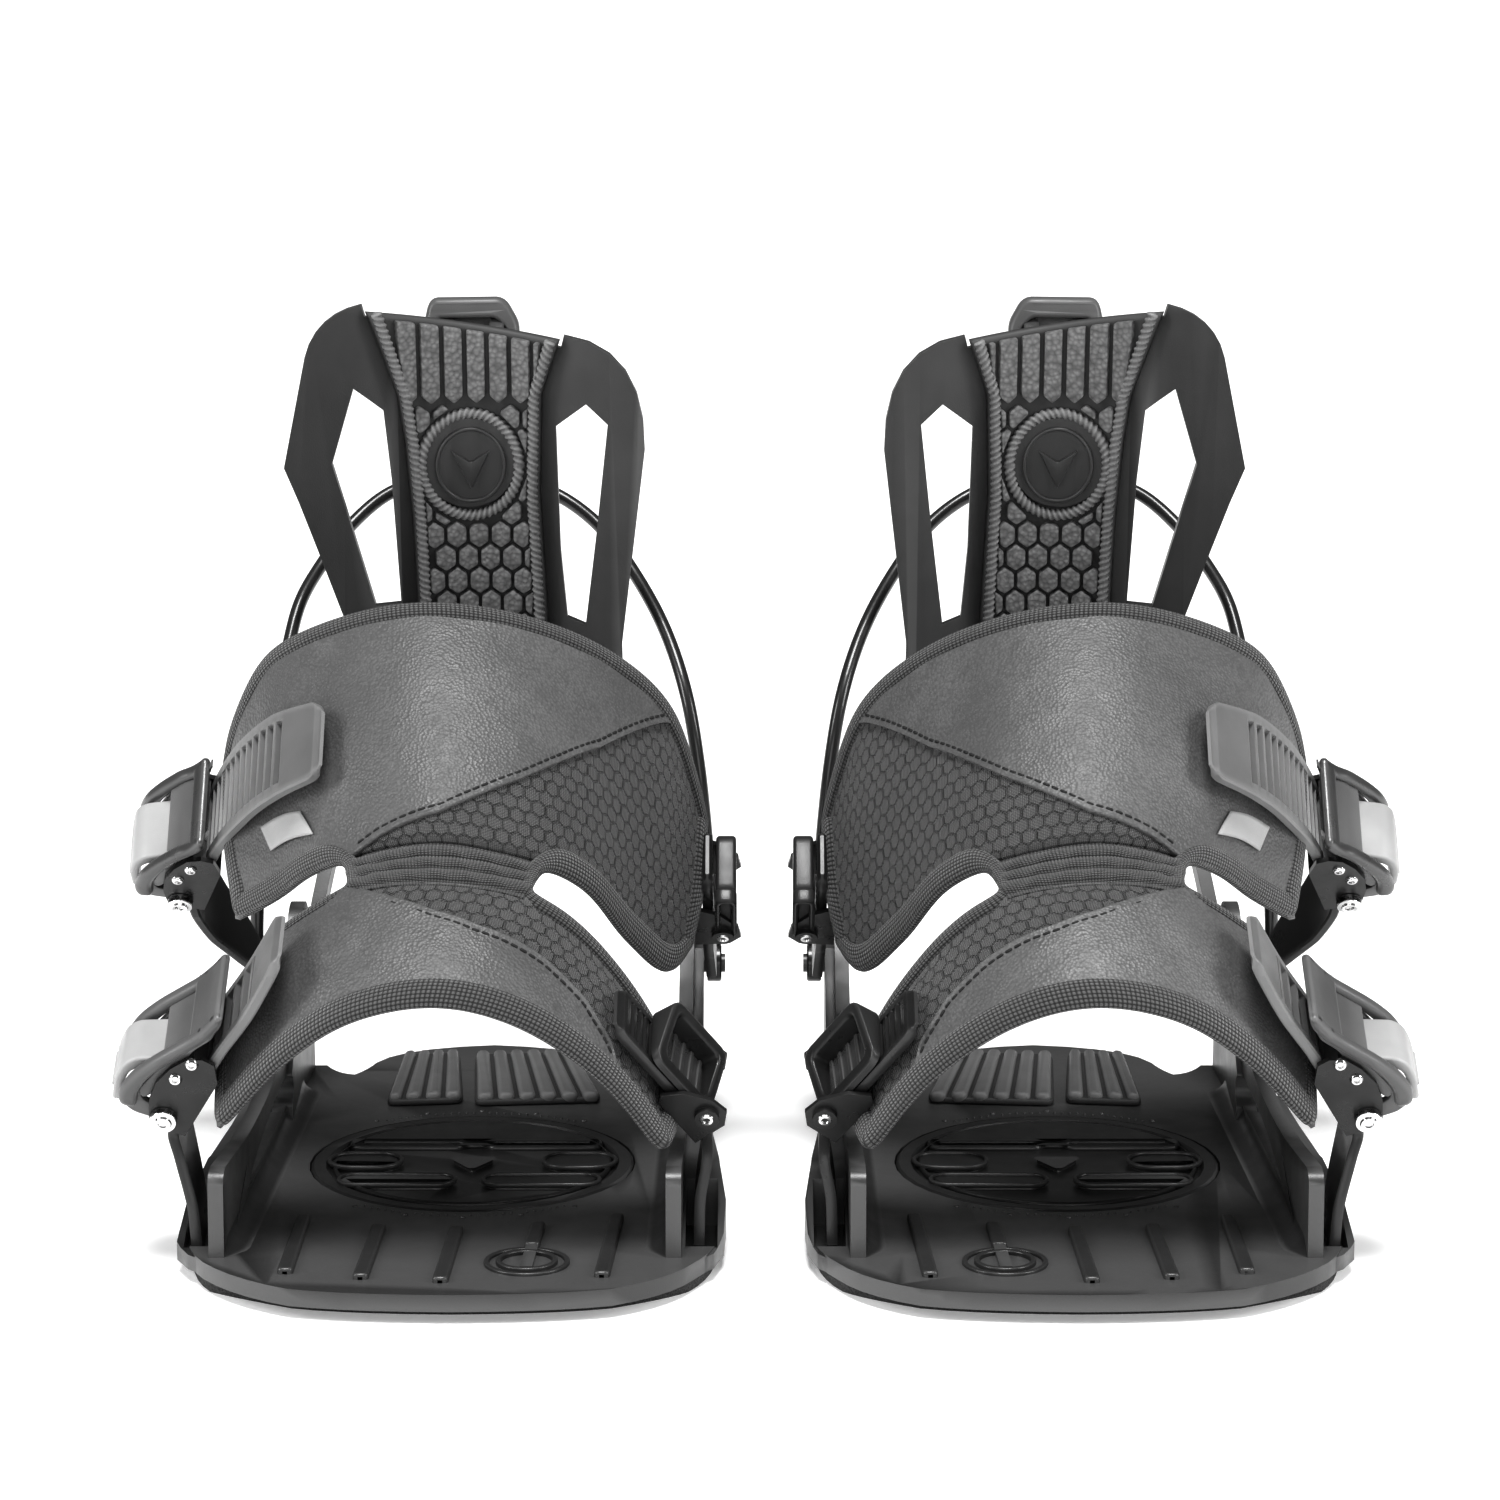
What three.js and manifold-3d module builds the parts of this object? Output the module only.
// A pair of rear-entry snowboard bindings, standing on their base pads.
//
// Millimetres, +Z up. +X runs from the wearer's right binding to the left one, and the toes point
// to -Y. One binding is modelled around the centre of its disc, with its outer side at -X. The
// left binding is the mirror image of the right one.

import * as THREE from 'three';
import { mergeVertices } from 'three/addons/utils/BufferGeometryUtils.js';
import Module from 'manifold-3d';

const wasm = await Module();
wasm.setup();

// ---------------------------------------------------------------- driving dimensions

const HALF_SPACING = 90.1;           // disc centre to the middle of the pair
const GAP = 0.3;                     // clearance between pieces that touch

const PAD_THICK = 3.6;               // foam under the base plate
const FLOOR_BOTTOM = PAD_THICK + GAP;
const FLOOR_TOP = 9;
const WALL_THICK = 4.5;

const DISC_RIM = 49.7;
const DISC_BODY = 46.4;
const DISC_BOTTOM = 1;
const DISC_LEDGE = 6.1;

const PIVOT = { y: 90, z: 58 };      // highback hinge, an axis along X
const PIVOT_PIN = 3;
const SHELL_THICK = 4.5;             // highback
const BACK_PAD_THICK = 6;

const CABLE_ANCHOR = { y: 86, z: 50 };
const CABLE_RADIUS = 2.2;

const LATCH_PIVOT = { y: 149, z: 208 };

const LADDER_THICK = 3.2;
const STRAP_THICK = 5;

const COLOURS = {
  nylon: [0x2b2c2e, 0.55, 0],
  foam: [0x151515, 0.95, 0],
  grip: [0x6a6b6d, 0.75, 0],
  leather: [0x55565a, 0.5, 0],
  webbing: [0x26272a, 0.9, 0],
  strapPlastic: [0x5d5e61, 0.45, 0],
  lever: [0x4b4c4f, 0.4, 0],
  trigger: [0xb9babc, 0.4, 0],
  steel: [0x17181a, 0.35, 0.7],
  chrome: [0xd8d9db, 0.2, 1],
  cable: [0x1b1c1e, 0.45, 0],
};

// ---------------------------------------------------------------- solids and booleans

function weld(geometry) {
  const bare = geometry.index ? geometry.toNonIndexed() : geometry.clone();
  for (const name of Object.keys(bare.attributes)) {
    if (name !== 'position') bare.deleteAttribute(name);
  }
  return mergeVertices(bare, 1e-4);
}

function toSolid(geometry) {
  const welded = weld(geometry);
  return new wasm.Manifold(new wasm.Mesh({
    numProp: 3,
    vertProperties: new Float32Array(welded.attributes.position.array),
    triVerts: new Uint32Array(welded.index.array),
  }));
}

function toGeometry(solid) {
  const mesh = solid.getMesh();
  const geometry = new THREE.BufferGeometry();
  geometry.setAttribute('position', new THREE.BufferAttribute(mesh.vertProperties, 3));
  geometry.setIndex(new THREE.BufferAttribute(mesh.triVerts, 1));
  geometry.computeVertexNormals();
  return geometry;
}

function join(first, ...others) {
  let solid = toSolid(first);
  for (const other of others) solid = solid.add(toSolid(other));
  return toGeometry(solid);
}

function cut(first, ...tools) {
  let solid = toSolid(first);
  for (const tool of tools) solid = solid.subtract(toSolid(tool));
  return toGeometry(solid);
}

function common(first, second) {
  return toGeometry(toSolid(first).intersect(toSolid(second)));
}

// ---------------------------------------------------------------- basic shapes

const vec = (x, y, z) => new THREE.Vector3(x, y, z);

function outline(points) {
  return new THREE.Shape(points.map(([x, y]) => new THREE.Vector2(x, y)));
}

// An outline in X and Y, standing from z = low to z = high.
function plateXY(shape, low, high, curveSegments = 8) {
  const depth = high - low;
  const geometry = new THREE.ExtrudeGeometry(shape, { depth, bevelEnabled: false, curveSegments });
  return geometry.translate(0, 0, low);
}

// An outline whose first coordinate is X and second is Z, from y = front to y = back.
function plateXZ(shape, front, back, curveSegments = 8) {
  const depth = back - front;
  const geometry = new THREE.ExtrudeGeometry(shape, { depth, bevelEnabled: false, curveSegments });
  return geometry.rotateX(Math.PI / 2).translate(0, back, 0);
}

// An outline whose first coordinate is Y and second is Z, from x = low to x = high.
function plateYZ(shape, low, high, curveSegments = 8) {
  const depth = high - low;
  const geometry = new THREE.ExtrudeGeometry(shape, { depth, bevelEnabled: false, curveSegments });
  geometry.rotateX(Math.PI / 2).rotateZ(Math.PI / 2);
  return geometry.translate(low, 0, 0);
}

function box(x0, x1, y0, y1, z0, z1) {
  const geometry = new THREE.BoxGeometry(x1 - x0, y1 - y0, z1 - z0);
  return geometry.translate((x0 + x1) / 2, (y0 + y1) / 2, (z0 + z1) / 2);
}

function rodX(radius, x0, x1, y, z, sides = 20) {
  const geometry = new THREE.CylinderGeometry(radius, radius, x1 - x0, sides);
  return geometry.rotateZ(Math.PI / 2).translate((x0 + x1) / 2, y, z);
}

function rodY(radius, y0, y1, x, z, sides = 20) {
  const geometry = new THREE.CylinderGeometry(radius, radius, y1 - y0, sides);
  return geometry.translate(x, (y0 + y1) / 2, z);
}

function rodZ(radius, z0, z1, x, y, sides = 32) {
  const geometry = new THREE.CylinderGeometry(radius, radius, z1 - z0, sides);
  return geometry.rotateX(Math.PI / 2).translate(x, y, (z0 + z1) / 2);
}

// A stadium along X, cut or raised from z = low to z = high.
function slotXY(x, y, length, width, low, high) {
  const half = (length - width) / 2;
  const radius = width / 2;
  const shape = new THREE.Shape();
  shape.absarc(half, 0, radius, -Math.PI / 2, Math.PI / 2);
  shape.absarc(-half, 0, radius, Math.PI / 2, 3 * Math.PI / 2);
  return plateXY(shape, low, high, 6).translate(x, y, 0);
}

// A bent slab: a box of nu by nv cells whose corners are moved by map(u, v, w), each 0 to 1.
function slab(nu, nv, map) {
  const geometry = new THREE.BoxGeometry(1, 1, 1, nu, nv, 1);
  const position = geometry.attributes.position;
  for (let i = 0; i < position.count; i += 1) {
    const u = position.getX(i) + 0.5;
    const v = position.getY(i) + 0.5;
    const w = position.getZ(i) + 0.5;
    const point = map(u, v, w);
    position.setXYZ(i, point.x, point.y, point.z);
  }
  return geometry;
}

function piece(name, geometry, colour) {
  const [color, roughness, metalness] = COLOURS[colour];
  const clean = weld(geometry);
  clean.computeVertexNormals();
  const material = new THREE.MeshStandardMaterial({ color, roughness, metalness });
  const mesh = new THREE.Mesh(clean, material);
  mesh.name = name;
  return mesh;
}

// ---------------------------------------------------------------- base

// Half of the base plate's outline, from the middle of the toe to the middle of the heel. The
// side points stand wider by spread, the whole side is pulled in by inset and the toe by front.
function halfBase(spread, inset, front) {
  const side = spread - inset;
  const half = new THREE.Path();
  half.moveTo(0, -127.5 + front);
  half.quadraticCurveTo(30, -127 + front, 46, -122 + front);
  half.quadraticCurveTo(63, -113 + front, 71 + side, -98);
  half.quadraticCurveTo(78 + side, -86, 78.5 + side, -68);
  half.lineTo(75 + side, -10);
  half.lineTo(70 + side, 78);
  half.lineTo(69 + side, 100 - inset);
  half.quadraticCurveTo(66 + side, 110 - inset, 54, 109 - inset);
  half.quadraticCurveTo(50, 99 - inset, 44, 98 - inset);
  half.quadraticCurveTo(40, 104 - inset, 38, 112 - inset);
  half.quadraticCurveTo(31, 130 - inset, 0, 133.5 - inset);
  return half.getPoints(5);
}

const OUTER_SPREAD = 1.5;
const INNER_SPREAD = -1.5;

function baseOutline(inset, front) {
  const inner = halfBase(INNER_SPREAD, inset, front);
  const outer = halfBase(OUTER_SPREAD, inset, front).slice(1, -1).reverse();
  return new THREE.Shape([...inner, ...outer.map((p) => new THREE.Vector2(-p.x, p.y))]);
}

function basePad() {
  const pad = plateXY(baseOutline(1.5, 9), 0, PAD_THICK);
  return cut(pad, rodZ(DISC_BODY + 1.5, -1, PAD_THICK + 1, 0, 0));
}

// Distance of a side wall's inner face from the middle, on the inner (+1) or outer (-1) side. The
// outer wall closes in towards the heel.
const wallX = (y, sign) => (sign > 0 ? 61 + (y + 99) * 0.012 : 67 - (y + 95) * 0.046);

// An outline in Y and Z that stands on a side wall, from inside to outside.
function wallPlate(shape, inside, outside, sign) {
  const geometry = plateYZ(shape, inside, outside);
  const position = geometry.attributes.position;
  for (let i = 0; i < position.count; i += 1) {
    const x = position.getX(i) + wallX(position.getY(i), sign);
    position.setX(i, x * sign);
  }
  if (sign < 0) flip(geometry);
  return geometry;
}

function flip(geometry) {
  const position = geometry.attributes.position;
  for (let i = 0; i < position.count; i += 3) {
    const [x, y, z] = [position.getX(i), position.getY(i), position.getZ(i)];
    position.setXYZ(i, position.getX(i + 1), position.getY(i + 1), position.getZ(i + 1));
    position.setXYZ(i + 1, x, y, z);
  }
}

function wallOutline() {
  const shape = new THREE.Shape();
  shape.moveTo(-94, 5);
  shape.lineTo(-93, 30);
  shape.quadraticCurveTo(-92, 35, -86, 34.5);
  shape.lineTo(-50, 31);
  shape.quadraticCurveTo(20, 27, 56, 42);
  shape.lineTo(78, 63);
  shape.quadraticCurveTo(90, 76, 99, 63);
  shape.lineTo(106, 38);
  shape.lineTo(107, 5);
  return shape;
}

// The leaf-shaped opening in each side wall.
function wallWindow() {
  const shape = new THREE.Shape();
  shape.moveTo(-46, 15);
  shape.quadraticCurveTo(0, 12, 36, 14);
  shape.quadraticCurveTo(46, 16, 44, 22);
  shape.quadraticCurveTo(42, 27, 30, 25.5);
  shape.quadraticCurveTo(-10, 25, -46, 15);
  return shape;
}

// The guard on the outside of each wall: a rim that rises towards the heel round the pocket where
// the toe strap's ladder stands.
const GUARD_RIM = [[-95, FLOOR_BOTTOM], [-95, 8.2], [-83, 8.6], [-62, 15], [-44, 24], [-15, 25.5],
  [30, 25], [44, FLOOR_BOTTOM]];
const GUARD_PLANS = {
  '-1': [[66, -95], [72, -95], [78, -89], [82.2, -80], [81.4, -62], [76, -42], [72.6, -15], [69, 44],
    [62, 44]],
  1: [[62, -95], [70, -95], [75, -88], [77.8, -76], [78.4, -60], [76.5, -46], [74, -20], [72, 44],
    [62, 44]],
};

function armGuard(sign) {
  const plan = outline(GUARD_PLANS[sign].map(([x, y]) => [x * sign, y]));
  const rim = plateYZ(outline(GUARD_RIM), sign > 0 ? 55 : -90, sign > 0 ? 90 : -55);
  return common(plateXY(plan, FLOOR_BOTTOM, 40), rim);
}

function armPocket(sign) {
  const [near, far] = sign > 0 ? [66.6, 76] : [72.2, 80];
  const low = FLOOR_BOTTOM + 1.6;
  return sign > 0 ? box(near, far, -83, -52, low, 50) : box(-far, -near, -83, -52, low, 50);
}

// The rear block on the outside of each wall, which carries the cable's anchor pin.
function rearBlock(sign) {
  const shape = outline([[40, FLOOR_BOTTOM], [102, FLOOR_BOTTOM], [100, 36], [95, 57], [78, 57],
    [68, 44], [40, 26]]);
  const [low, high] = sign > 0 ? [63, 70.6] : [59, 68.6];
  const block = plateYZ(shape, low, high);
  const pin = rodX(3, high - 1, 77.5, CABLE_ANCHOR.y, CABLE_ANCHOR.z, 16);
  return sign > 0 ? join(block, pin) : mirrored(join(block, pin));
}

function mirrored(geometry) {
  const copy = weld(geometry).toNonIndexed();
  copy.scale(-1, 1, 1);
  flip(copy);
  return copy;
}

// Outer face of the highback's hub, just inside the wall.
const HUB_THICK = 4.5;
const hubFace = (sign) => wallX(PIVOT.y, sign) - 0.5;

// The pin that the highback's leg turns on, reaching inwards from the wall.
function highbackPin(sign) {
  const hub = hubFace(sign);
  const pin = rodX(PIVOT_PIN, hub - HUB_THICK - 1, hub + 3, PIVOT.y, PIVOT.z, 16);
  return sign > 0 ? pin : mirrored(pin);
}

function toeRib([x0, y0, x1, y1]) {
  const half = 1.8;
  const shape = outline([[x1 - half, y1], [x1 + half, y1], [x0 + half, y0], [x0 - half, y0]]);
  return plateXY(shape, FLOOR_TOP - 1, FLOOR_TOP + 1.2);
}

const TOE_RIBS = [[-47, -57, -48, -109], [-24, -66, -26, -114], [-1, -68, -3, -117],
  [23, -64, 21, -105], [46, -56, 43, -112]];

function basePlate() {
  const floor = plateXY(baseOutline(0, 0), FLOOR_BOTTOM, FLOOR_TOP);
  const additions = TOE_RIBS.map(toeRib);
  const cuts = [rodZ(DISC_BODY + 0.5, 0, 20, 0, 0, 40), rodZ(DISC_RIM + 0.5, DISC_LEDGE - GAP, 20, 0, 0, 40)];
  for (const sign of [-1, 1]) {
    additions.push(wallPlate(wallOutline(), 0, WALL_THICK, sign));
    additions.push(armGuard(sign), rearBlock(sign), highbackPin(sign));
    cuts.push(wallPlate(wallWindow(), -3, WALL_THICK + 10, sign), armPocket(sign));
  }
  return cut(join(floor, ...additions), ...cuts);
}

function disc() {
  const profile = [[0, DISC_BOTTOM], [DISC_BODY, DISC_BOTTOM], [DISC_BODY, DISC_LEDGE],
    [DISC_RIM, DISC_LEDGE], [DISC_RIM, FLOOR_TOP - 0.4], [DISC_RIM - 0.8, FLOOR_TOP + 0.3],
    [45.2, FLOOR_TOP + 0.3], [44.2, FLOOR_TOP - 1], [0, FLOOR_TOP - 1]];
  const points = profile.map(([r, z]) => new THREE.Vector2(r, z));
  const body = new THREE.LatheGeometry(points, 40).rotateX(Math.PI / 2);
  const [low, high] = [DISC_BOTTOM + 2, 20];
  const cuts = [slotXY(-22, -20, 34, 9, low, high), slotXY(22, -20, 34, 9, low, high),
    slotXY(-22, 20, 34, 9, low, high), slotXY(22, 20, 34, 9, low, high),
    slotXY(0, 20, 30, 3, FLOOR_TOP - 3, high),
    slotXY(-34, 0, 16, 10, 0, high), slotXY(34, 0, 16, 10, 0, high),
    plateXY(outline([[-6, 3], [0, -7], [6, 3]]), low, high)];
  return cut(body, ...cuts);
}

function heelPad(points) {
  const bottom = FLOOR_TOP + GAP;
  return plateXY(outline(points), bottom, bottom + 3.3);
}

// ---------------------------------------------------------------- highback

// The front face of the highback's shell: it leans forwards and wraps around the calf.
const shellY = (x, z) => 140 - (z - 80) * 0.15 - 0.0093 * x * x;

function shellSlab(offset, thick) {
  const [x0, x1, z0, z1] = [-70, 66, 74, 268];
  return slab(16, 4, (u, v, w) => {
    const x = x0 + (x1 - x0) * u;
    const z = z0 + (z1 - z0) * v;
    return vec(x, shellY(x, z) + offset + thick * (1 - w), z);
  });
}

function shellOutline() {
  const shape = new THREE.Shape();
  shape.moveTo(-37, 258);
  shape.lineTo(-38, 262);
  shape.quadraticCurveTo(-52, 260, -55, 247);
  shape.lineTo(-62, 212);
  shape.lineTo(-58, 200);
  shape.lineTo(-46, 160);
  shape.quadraticCurveTo(-45, 125, -54, 84);
  shape.lineTo(-44, 84);
  shape.quadraticCurveTo(-38, 118, -4, 126);
  shape.quadraticCurveTo(30, 118, 41, 84);
  shape.lineTo(50, 84);
  shape.quadraticCurveTo(44, 125, 44, 150);
  shape.lineTo(52, 216);
  shape.quadraticCurveTo(53, 249, 26, 251);
  shape.lineTo(25, 247);
  shape.holes.push(new THREE.Path([[-41, 235], [-48, 211], [-36, 162], [-28, 162], [-30, 204],
    [-32, 227]].map(([x, z]) => new THREE.Vector2(x, z))));
  shape.holes.push(new THREE.Path([[33, 229], [23, 221], [24, 180], [26, 157], [32, 155], [36, 187],
    [40, 223]].map(([x, z]) => new THREE.Vector2(x, z))));
  return shape;
}

// A leg of the highback, from the shell down to its hinge on the base plate.
function highbackLeg(sign, topX) {
  const outer = hubFace(sign);
  const hub = rodX(9, outer - HUB_THICK, outer, PIVOT.y, PIVOT.z, 24);
  const top = shellY(topX, 92);
  const foot = outer - 2.2;
  const path = [vec(foot, PIVOT.y, PIVOT.z), vec(foot - 2, 99, 72), vec(topX, top + 2, 92)];
  const leg = slab(6, 1, (u, v, w) => {
    const curve = new THREE.QuadraticBezierCurve3(...path);
    const centre = curve.getPoint(u);
    return vec(centre.x + (0.5 - w) * 4.4, centre.y + (v - 0.5) * 13, centre.z + (v - 0.5) * -4);
  });
  const bore = rodX(PIVOT_PIN + 0.35, outer - 8, outer + 3, PIVOT.y, PIVOT.z, 16);
  const geometry = cut(join(leg, hub), bore);
  return sign > 0 ? geometry : mirrored(geometry);
}

function highback() {
  const cutter = plateXZ(shellOutline(), 60, 200, 6);
  const shell = common(shellSlab(0, SHELL_THICK), cutter);
  return join(shell, highbackLeg(1, 47), highbackLeg(-1, 49));
}

const BADGE = { x: -5, z: 209, radius: 15 };

function highbackPad() {
  const shape = outline([[-37, 260], [-28, 232], [-26, 217], [-24, 191], [-23, 161], [-22, 132],
    [19, 132], [20, 157], [18, 199], [19, 232], [25, 250]]);
  const body = common(shellSlab(-BACK_PAD_THICK - GAP, BACK_PAD_THICK), plateXZ(shape, 60, 200));
  return cut(body, rodY(BADGE.radius + 0.4, 60, 200, BADGE.x, BADGE.z, 32));
}

function highbackBadge() {
  const disc = rodY(BADGE.radius, 60, 200, BADGE.x, BADGE.z, 32);
  return common(shellSlab(-BACK_PAD_THICK + 0.8, BACK_PAD_THICK - 0.8 - GAP), disc);
}

// The block on the back of the highback: two cheeks that carry the latch lever's pin.
function latchBlock() {
  const [x0, x1, z0, z1] = [-23, 10, 190, 232];
  const body = slab(6, 2, (u, v, w) => {
    const x = x0 + (x1 - x0) * u;
    const z = z0 + (z1 - z0) * v;
    const front = shellY(x, z) + SHELL_THICK + GAP;
    return vec(x, w > 0.5 ? front : LATCH_PIVOT.y + 5 - Math.abs(z - LATCH_PIVOT.z) * 0.35, z);
  });
  const slot = box(x0 + 5, x1 - 5, 132, 200, z0 - 5, z1 + 5);
  return join(cut(body, slot), rodX(2, x0 + 2, x1 - 2, LATCH_PIVOT.y, LATCH_PIVOT.z, 12));
}

// A loop handle that leans back over the top of the highback, with a barrel round its pin.
function latchLever() {
  const [x0, x1] = [-17.4, 4.4];
  const { y, z } = LATCH_PIVOT;
  const profile = outline([[y - 4, z], [y, z - 4.5], [y + 4, z], [y + 8, z + 20], [y + 15, z + 34],
    [y + 18, z + 47], [y + 15, z + 48.4], [y + 8, z + 38], [y + 1, z + 24]]);
  const body = plateYZ(profile, x0, x1);
  const head = plateYZ(outline([[y + 9.5, z + 34], [y + 15.5, z + 33], [y + 19, z + 47.5],
    [y + 15, z + 48.6]]), x0 - 4.2, x1 + 4.2);
  const finger = box(x0 + 4, x1 - 4, y - 10, y + 40, z + 12, z + 30);
  return cut(join(body, head), finger, rodX(2.35, x0 - 5, x1 + 5, y, z, 12));
}

// ---------------------------------------------------------------- cable

const CABLE_ROUTE = [[-74, 86, 50], [-74, 88, 62], [-73, 89, 80], [-71, 91, 104], [-67.5, 97, 130],
  [-64, 110, 150], [-61, 122, 162], [-55, 136, 172], [-46, 150, 183], [-34, 158, 192], [-20, 161, 196],
  [-6, 162, 197], [8, 161, 196], [22, 159, 191], [35, 150, 183], [47, 135, 170], [58, 114, 154],
  [65, 98, 136], [69, 91, 114], [72, 89, 84], [74, 88, 62], [74, 86, 50]];

function cable() {
  const curve = new THREE.CatmullRomCurve3(CABLE_ROUTE.map((p) => vec(...p)));
  const section = new THREE.Shape();
  section.absarc(0, 0, CABLE_RADIUS, 0, 2 * Math.PI);
  const tube = new THREE.ExtrudeGeometry(section, { extrudePath: curve, steps: 44, curveSegments: 3 });
  const eyes = [-1, 1].map((sign) => {
    const [near, far] = [71.6, 76.4];
    const [low, high] = sign > 0 ? [near, far] : [-far, -near];
    return rodX(6, low, high, CABLE_ANCHOR.y, CABLE_ANCHOR.z, 20);
  });
  const bore = rodX(3.35, -90, 90, CABLE_ANCHOR.y, CABLE_ANCHOR.z, 16);
  return cut(join(tube, ...eyes), bore);
}

// ---------------------------------------------------------------- straps

// The straps' edges, from the outer side over the foot to the inner side.
const TOE_FRONT = [[-69, -86, 45], [-49, -95, 68], [-29, -102, 82.5], [-4, -105, 88],
  [19, -102, 81.5], [43, -95, 63], [60.8, -87, 38.5]];
const TOE_REAR = [[-67, -50, 71], [-58, -54, 91.5], [-49, -58, 100], [-31, -63, 111.5], [-7, -66, 115],
  [21, -64, 110], [35, -59, 99.5], [52, -52, 76], [65.5, -48, 47.5]];
const ANKLE_FRONT = [[-72, 8, 84], [-57, -10, 96], [-47, -24, 106], [-34, -38, 114], [-8, -48, 121],
  [20, -44, 115], [36, -30, 104], [49, -6, 81], [61, 14, 66], [67, 26, 71]];
const ANKLE_REAR = [[-78, 49, 124], [-75, 44, 138], [-65, 38, 159], [-53, 30, 169], [-21, 20, 180],
  [9, 21, 178], [39, 32, 165], [59, 42, 146], [68, 50, 120], [71, 52, 105]];

const curveOf = (points) => new THREE.CatmullRomCurve3(points.map((p) => vec(...p)));

// A padded strap: the sheet between two edges, thick towards the foot, and slightly crowned.
function strapBetween(front, rear, from, to, steps, crown = 2) {
  const rails = [curveOf(front), curveOf(rear)];
  const onSheet = (u, v) => {
    const t = from + (to - from) * u;
    return rails[0].getPointAt(t).lerp(rails[1].getPointAt(t), v);
  };
  return slab(steps, 4, (u, v, w) => {
    const du = u < 0.99 ? 0.01 : -0.01;
    const along = onSheet(u + du, v).sub(onSheet(u, v)).divideScalar(du);
    const across = onSheet(u, 1).sub(onSheet(u, 0));
    const normal = along.cross(across).normalize();
    const bulge = Math.sin(Math.PI * v);
    const height = (w - 1) * STRAP_THICK * (0.4 + 0.6 * bulge) + crown * bulge;
    return onSheet(u, v).addScaledVector(normal, height);
  });
}

// The web that ties the toe strap to the ankle strap over the instep.
const BRIDGE_FRONT = [[-29, -61.4, 112.6], [-7, -64.2, 115.5], [18, -62.4, 111.2]];
const BRIDGE_REAR = [[-31, -40.6, 115], [-8, -48.6, 120.6], [17, -45.6, 115.6]];

// A flat band along a route. Each stop is a centre, the slope of the band's width and its size.
function ribbon(stops, steps, low = -LADDER_THICK / 2, high = LADDER_THICK / 2, margin = 0) {
  const centres = curveOf(stops.map((stop) => stop.slice(0, 3)));
  const between = (column, t) => {
    const place = t * (stops.length - 1);
    const index = Math.min(Math.floor(place), stops.length - 2);
    return THREE.MathUtils.lerp(stops[index][column], stops[index + 1][column], place - index);
  };
  return slab(steps, 1, (u, v, w) => {
    const along = centres.getTangent(u);
    const tilt = THREE.MathUtils.degToRad(between(3, u));
    const across = vec(0, Math.cos(tilt), Math.sin(tilt));
    const normal = along.clone().cross(across).normalize();
    const centre = centres.getPoint(u);
    centre.addScaledVector(across, (v - 0.5) * (between(4, u) + margin));
    return centre.addScaledVector(normal, THREE.MathUtils.lerp(low, high, w));
  });
}

// ---------------------------------------------------------------- ratchets

// A ratchet stands in its own frame: its ladder runs up +Z, outwards is -X, across is Y.
const AXLE = { x: -4.9, z: -11 };
const TRIGGER_PIN = { x: -4.8, z: 5.5 };

// Profiles are written as distance out from the ladder and height along it.
const outwards = (points) => outline(points.map(([out, up]) => [-out, up]));

function ratchetFrame(half) {
  const cheek = outwards([[-3.7, -15], [5, -15.4], [8.5, -13.5], [11.3, -7], [12.3, 0], [10.8, 7],
    [8, 12.5], [4, 14.5], [0, 14], [-3.7, 8]]);
  const cheeks = join(
    plateXZ(cheek, half, half + 1.6),
    plateXZ(cheek, -half - 1.6, -half),
    box(2, 3.7, -half - 1, half + 1, -15, 8),
    box(-6.3, -2.3, -half - 1, half + 1, 10.4, 13.6),
    rodY(1.7, -half - 1, half + 1, TRIGGER_PIN.x, TRIGGER_PIN.z, 12),
  );
  return cut(cheeks, rodY(2, -half - 9, half + 9, AXLE.x, AXLE.z, 16));
}

function ratchetAxle(half) {
  const pin = rodY(1.7, -half - 2.6, half + 2.6, AXLE.x, AXLE.z, 16);
  const heads = [[-half - 4.2, -half - 1.9], [half + 1.9, half + 3.4]];
  return join(pin, ...heads.map(([low, high]) => rodY(4, low, high, AXLE.x, AXLE.z, 24)));
}

// The lever's handle, above the window, is longer or shorter by reach.
function ratchetLever(half, reach) {
  const hub = rodY(3.1, -half + 0.4, half - 0.4, AXLE.x, AXLE.z, 20);
  const stretch = ([out, up]) => [out, up > 14 ? 14 + (up - 14) * reach : up];
  const handle = [[20.3, -9], [19.8, -2], [17, 6], [13, 14], [10, 21], [8.3, 28], [7.4, 34], [5.2, 34.5],
    [4.2, 30], [5.6, 22], [9.2, 13.5], [12.8, 6], [15, -1], [15.2, -6]];
  const core = outwards([[3, -13.5], [6.5, -14.5], [13, -15], [18.3, -13], ...handle, [12.5, -9.5],
    [6.5, -9.5]].map(stretch));
  const wide = outwards([[13.2, -12], [18.3, -13], ...handle].map(stretch));
  const window = box(-30, -1, -half + 3, half - 3, -7, 10);
  const notch = box(-30, -10.6, -half + 3, half - 3, -20, -6);
  const body = join(hub, plateXZ(core, -half + 0.4, half - 0.4), plateXZ(wide, -half - 2, half + 2));
  return cut(body, window, notch, rodY(2, -40, 40, AXLE.x, AXLE.z, 16));
}

function ratchetTrigger(half) {
  const width = half - 4.2;
  const shape = outwards([[17, -16], [19.4, -16.8], [22, -9], [22.2, -3], [20.2, 0.8], [9, 7.2], [4.5, 8.6],
    [2.1, 8], [2.1, 3.6], [4.6, 2.6], [8, 2.6], [17.4, -2], [19.2, -5], [18.8, -10]]);
  return cut(plateXZ(shape, -width, width), rodY(2, -40, 40, TRIGGER_PIN.x, TRIGGER_PIN.z, 12));
}

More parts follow.
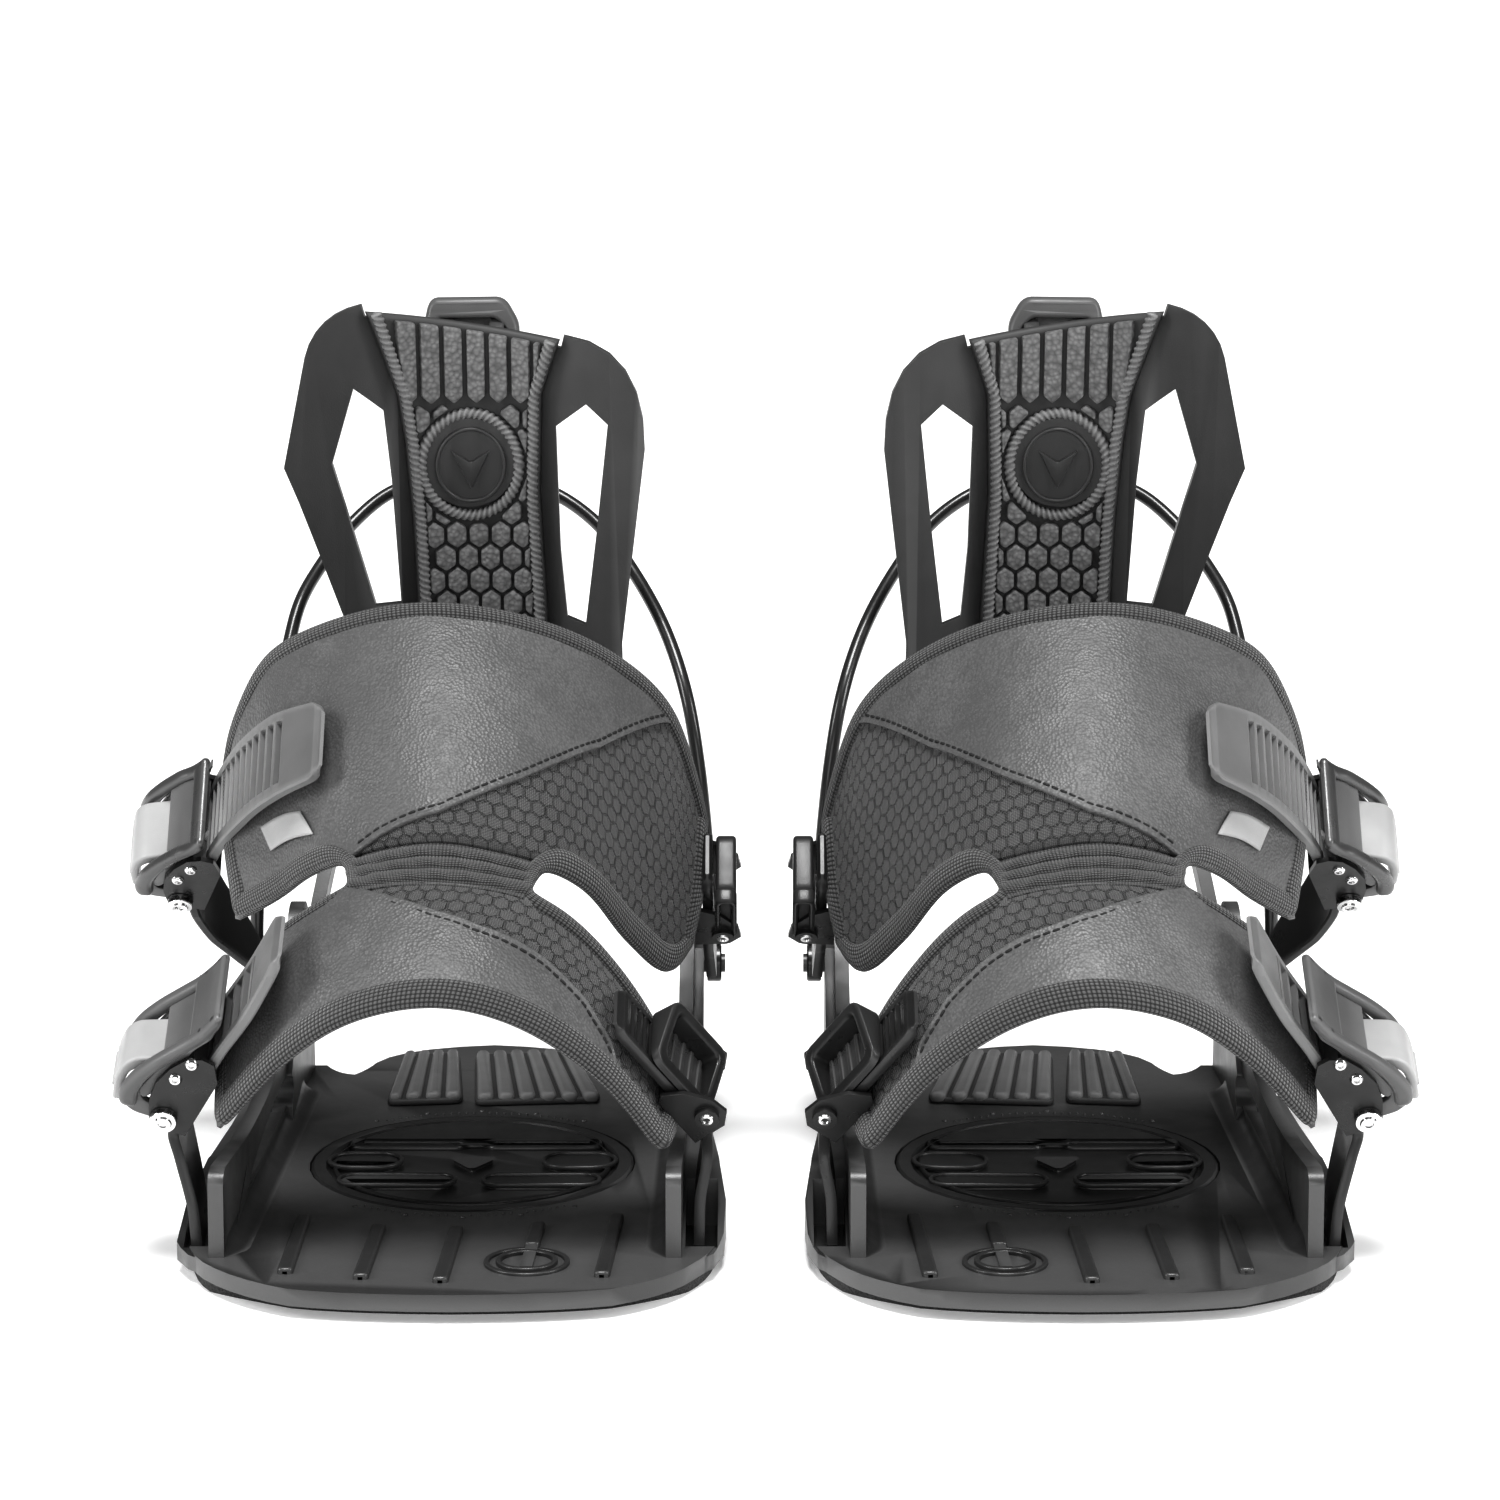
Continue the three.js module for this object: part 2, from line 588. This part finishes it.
function ratchet(name, place) {
  const { half } = place;
  const group = new THREE.Group();
  group.add(
    piece(`${name}_ratchet_frame`, ratchetFrame(half), 'steel'),
    piece(`${name}_ratchet_axle`, ratchetAxle(half), 'chrome'),
    piece(`${name}_ratchet_lever`, ratchetLever(half, place.reach), 'lever'),
    piece(`${name}_ratchet_trigger`, ratchetTrigger(half), 'trigger'),
  );
  for (const mesh of group.children) mesh.geometry.translate(-AXLE.x, 0, -AXLE.z);
  return stand(group, place);
}

// A slap buckle holds the ladder on the inner side: a folded bracket and a box-shaped lever.
const SLAP_PIN = { x: 4.8, z: -6 };

function slapFrame(half) {
  const cheek = outline([[-4, -13], [7, -12], [10.5, -8], [9.5, -2], [4, 5], [-2, 8], [-4, 6]]);
  return join(
    plateXZ(cheek, half, half + 1.5),
    plateXZ(cheek, -half - 1.5, -half),
    box(-4, -2.4, -half - 1, half + 1, -13, 6),
    rodY(1.7, -half - 2.6, half + 1, SLAP_PIN.x, SLAP_PIN.z, 12),
    rodY(3.6, -half - 3.2, -half - 1.4, SLAP_PIN.x, SLAP_PIN.z, 20),
  );
}

function slapLever({ half, length, depth }) {
  const width = half - 0.4;
  const top = length - 10;
  const shape = outline([[2.3, -6.5], [4, -9.4], [7.4, -9.6], [depth, -4], [depth - 0.5, top - 5],
    [depth - 4, top], [4, top - 1], [2.3, top - 6]]);
  const well = box(depth - 5, 20, -width + 3.5, width - 3.5, -1, top - 8);
  const body = plateXZ(shape, -width, width);
  return cut(body, well, rodY(2.05, -40, 40, SLAP_PIN.x, SLAP_PIN.z, 12));
}

function slapBuckle(name, place) {
  const group = new THREE.Group();
  group.add(
    piece(`${name}_slap_frame`, slapFrame(place.half), 'steel'),
    piece(`${name}_slap_lever`, slapLever(place), 'nylon'),
  );
  for (const mesh of group.children) mesh.geometry.translate(-SLAP_PIN.x, 0, -SLAP_PIN.z);
  return stand(group, place);
}

// Puts a buckle's pin at a point: its top leans to +X by lean and it tips about X by tip.
function stand(group, { at, tip, lean }) {
  group.position.set(...at);
  group.rotation.set(THREE.MathUtils.degToRad(tip), THREE.MathUtils.degToRad(lean), 0);
  return group;
}

// ---------------------------------------------------------------- one binding

const TOE_RATCHET = { at: [-85.2, -66, 53.5], tip: 26, lean: 28, half: 13, reach: 0.85 };
const ANKLE_RATCHET = { at: [-93.7, 58, 92.3], tip: 46, lean: 18, half: 14.4, reach: 0.5 };
const TOE_SLAP = { at: [72.9, -65.8, 52.6], tip: 26, lean: -34, half: 11.5, length: 30, depth: 13.2 };
const ANKLE_SLAP = { at: [77, 54, 80], tip: 46, lean: 0, half: 12, length: 27, depth: 10.8 };

const TOE_LADDER = [[-76.4, -70, 7.5, 0, 20], [-77.4, -69, 20, 4, 21], [-81.2, -65, 36, 14, 23],
  [-83.2, -63, 45.6, 26, 24], [-80.9, -64.9, 50.8, 26, 24], [-74.3, -70.3, 61.9, 26, 24],
  [-67.7, -75.7, 73, 26, 24], [-58.6, -81, 86.3, 26, 25], [-49.3, -82.9, 102.7, 26, 24]];
const ANKLE_LADDER = [[-71.4, 73, 53.5, 20, 13], [-77, 73, 61, 34, 18], [-85, 69.5, 72, 42, 24],
  [-89.8, 65, 82.5, 46, 27], [-90.6, 62.5, 88, 46, 27], [-89, 59.1, 91.2, 46, 27],
  [-84.7, 49.5, 100.5, 46, 27], [-80.2, 39.6, 110.1, 46, 28.5], [-71.3, 21, 123.6, 46, 31],
  [-59, 1.5, 136.4, 45, 31], [-42.5, -17, 146.5, 45, 27]];
const TOE_ADJUST = [[70.6, -68, 7.5, 0, 19], [71, -67.4, 22, 3, 19], [73, -65.4, 36, 16, 20],
  [72.2, -62.5, 45.8, 26, 20], [69, -64.6, 50.2, 26, 20], [61.1, -69.7, 60.6, 26, 20],
  [53.3, -74.8, 71.1, 26, 20], [46.5, -79.4, 80.2, 26, 20]];
const ANKLE_ADJUST = [[73.2, 72, 54, 30, 14], [72.6, 67, 63, 38, 17], [72.2, 60, 72, 44, 20],
  [72.2, 54, 80, 46, 20], [72.2, 46, 88, 46, 20], [72.2, 36, 98, 46, 20]];

// The room that a ladder needs over a strap: it is open on the side away from the foot.
function ladderRoom(stops, steps, sign) {
  const near = LADDER_THICK / 2 + GAP;
  return sign > 0 ? ribbon(stops, steps, -9, near, 1) : ribbon(stops, steps, -near, 9, 1);
}

function toeStrap() {
  const strap = strapBetween(TOE_FRONT, TOE_REAR, 0, 1, 20);
  return cut(strap, ladderRoom(TOE_LADDER, 24, -1), ladderRoom(TOE_ADJUST, 20, 1));
}

function ankleStrap() {
  const strap = strapBetween(ANKLE_FRONT, ANKLE_REAR, 0, 1, 24);
  return cut(strap, ladderRoom(ANKLE_LADDER, 28, -1), ladderRoom(ANKLE_ADJUST, 12, 1));
}

function buildBinding() {
  const group = new THREE.Group();
  group.add(
    piece('base_pad', basePad(), 'foam'),
    piece('baseplate', basePlate(), 'nylon'),
    piece('disc', disc(), 'nylon'),
    piece('heel_pad_outer', heelPad([[-31, 60], [-6.5, 63], [-10.6, 117], [-29, 114.5]]), 'grip'),
    piece('heel_pad_inner', heelPad([[-2.6, 60], [38, 64], [27.5, 118], [-5.5, 114.5]]), 'grip'),
    piece('highback', highback(), 'nylon'),
    piece('highback_pad', highbackPad(), 'grip'),
    piece('highback_badge', highbackBadge(), 'nylon'),
    piece('latch_block', latchBlock(), 'nylon'),
    piece('latch_lever', latchLever(), 'lever'),
    piece('cable', cable(), 'cable'),
    piece('toe_strap', toeStrap(), 'leather'),
    piece('ankle_strap', ankleStrap(), 'leather'),
    piece('strap_bridge', strapBetween(BRIDGE_FRONT, BRIDGE_REAR, 0, 1, 6, 0.5), 'webbing'),
    piece('toe_ladder', ribbon(TOE_LADDER, 24), 'strapPlastic'),
    piece('ankle_ladder', ribbon(ANKLE_LADDER, 28), 'strapPlastic'),
    piece('toe_adjust_ladder', ribbon(TOE_ADJUST, 20), 'strapPlastic'),
    piece('ankle_adjust_ladder', ribbon(ANKLE_ADJUST, 12), 'strapPlastic'),
    ratchet('toe', TOE_RATCHET),
    ratchet('ankle', ANKLE_RATCHET),
    slapBuckle('toe', TOE_SLAP),
    slapBuckle('ankle', ANKLE_SLAP),
  );
  return group;
}

function binding(side, sign) {
  const group = buildBinding();
  group.traverse((object) => {
    if (object.isMesh) object.name = `${side}_${object.name}`;
  });
  group.scale.x = sign;
  group.position.x = -sign * HALF_SPACING;
  return group;
}

const pair = new THREE.Group();
pair.add(binding('right', 1), binding('left', -1));
pair.updateMatrixWorld(true);
const bounds = new THREE.Box3().setFromObject(pair, true);
pair.position.set(-(bounds.min.x + bounds.max.x) / 2, -(bounds.min.y + bounds.max.y) / 2, -bounds.min.z);

export default pair;
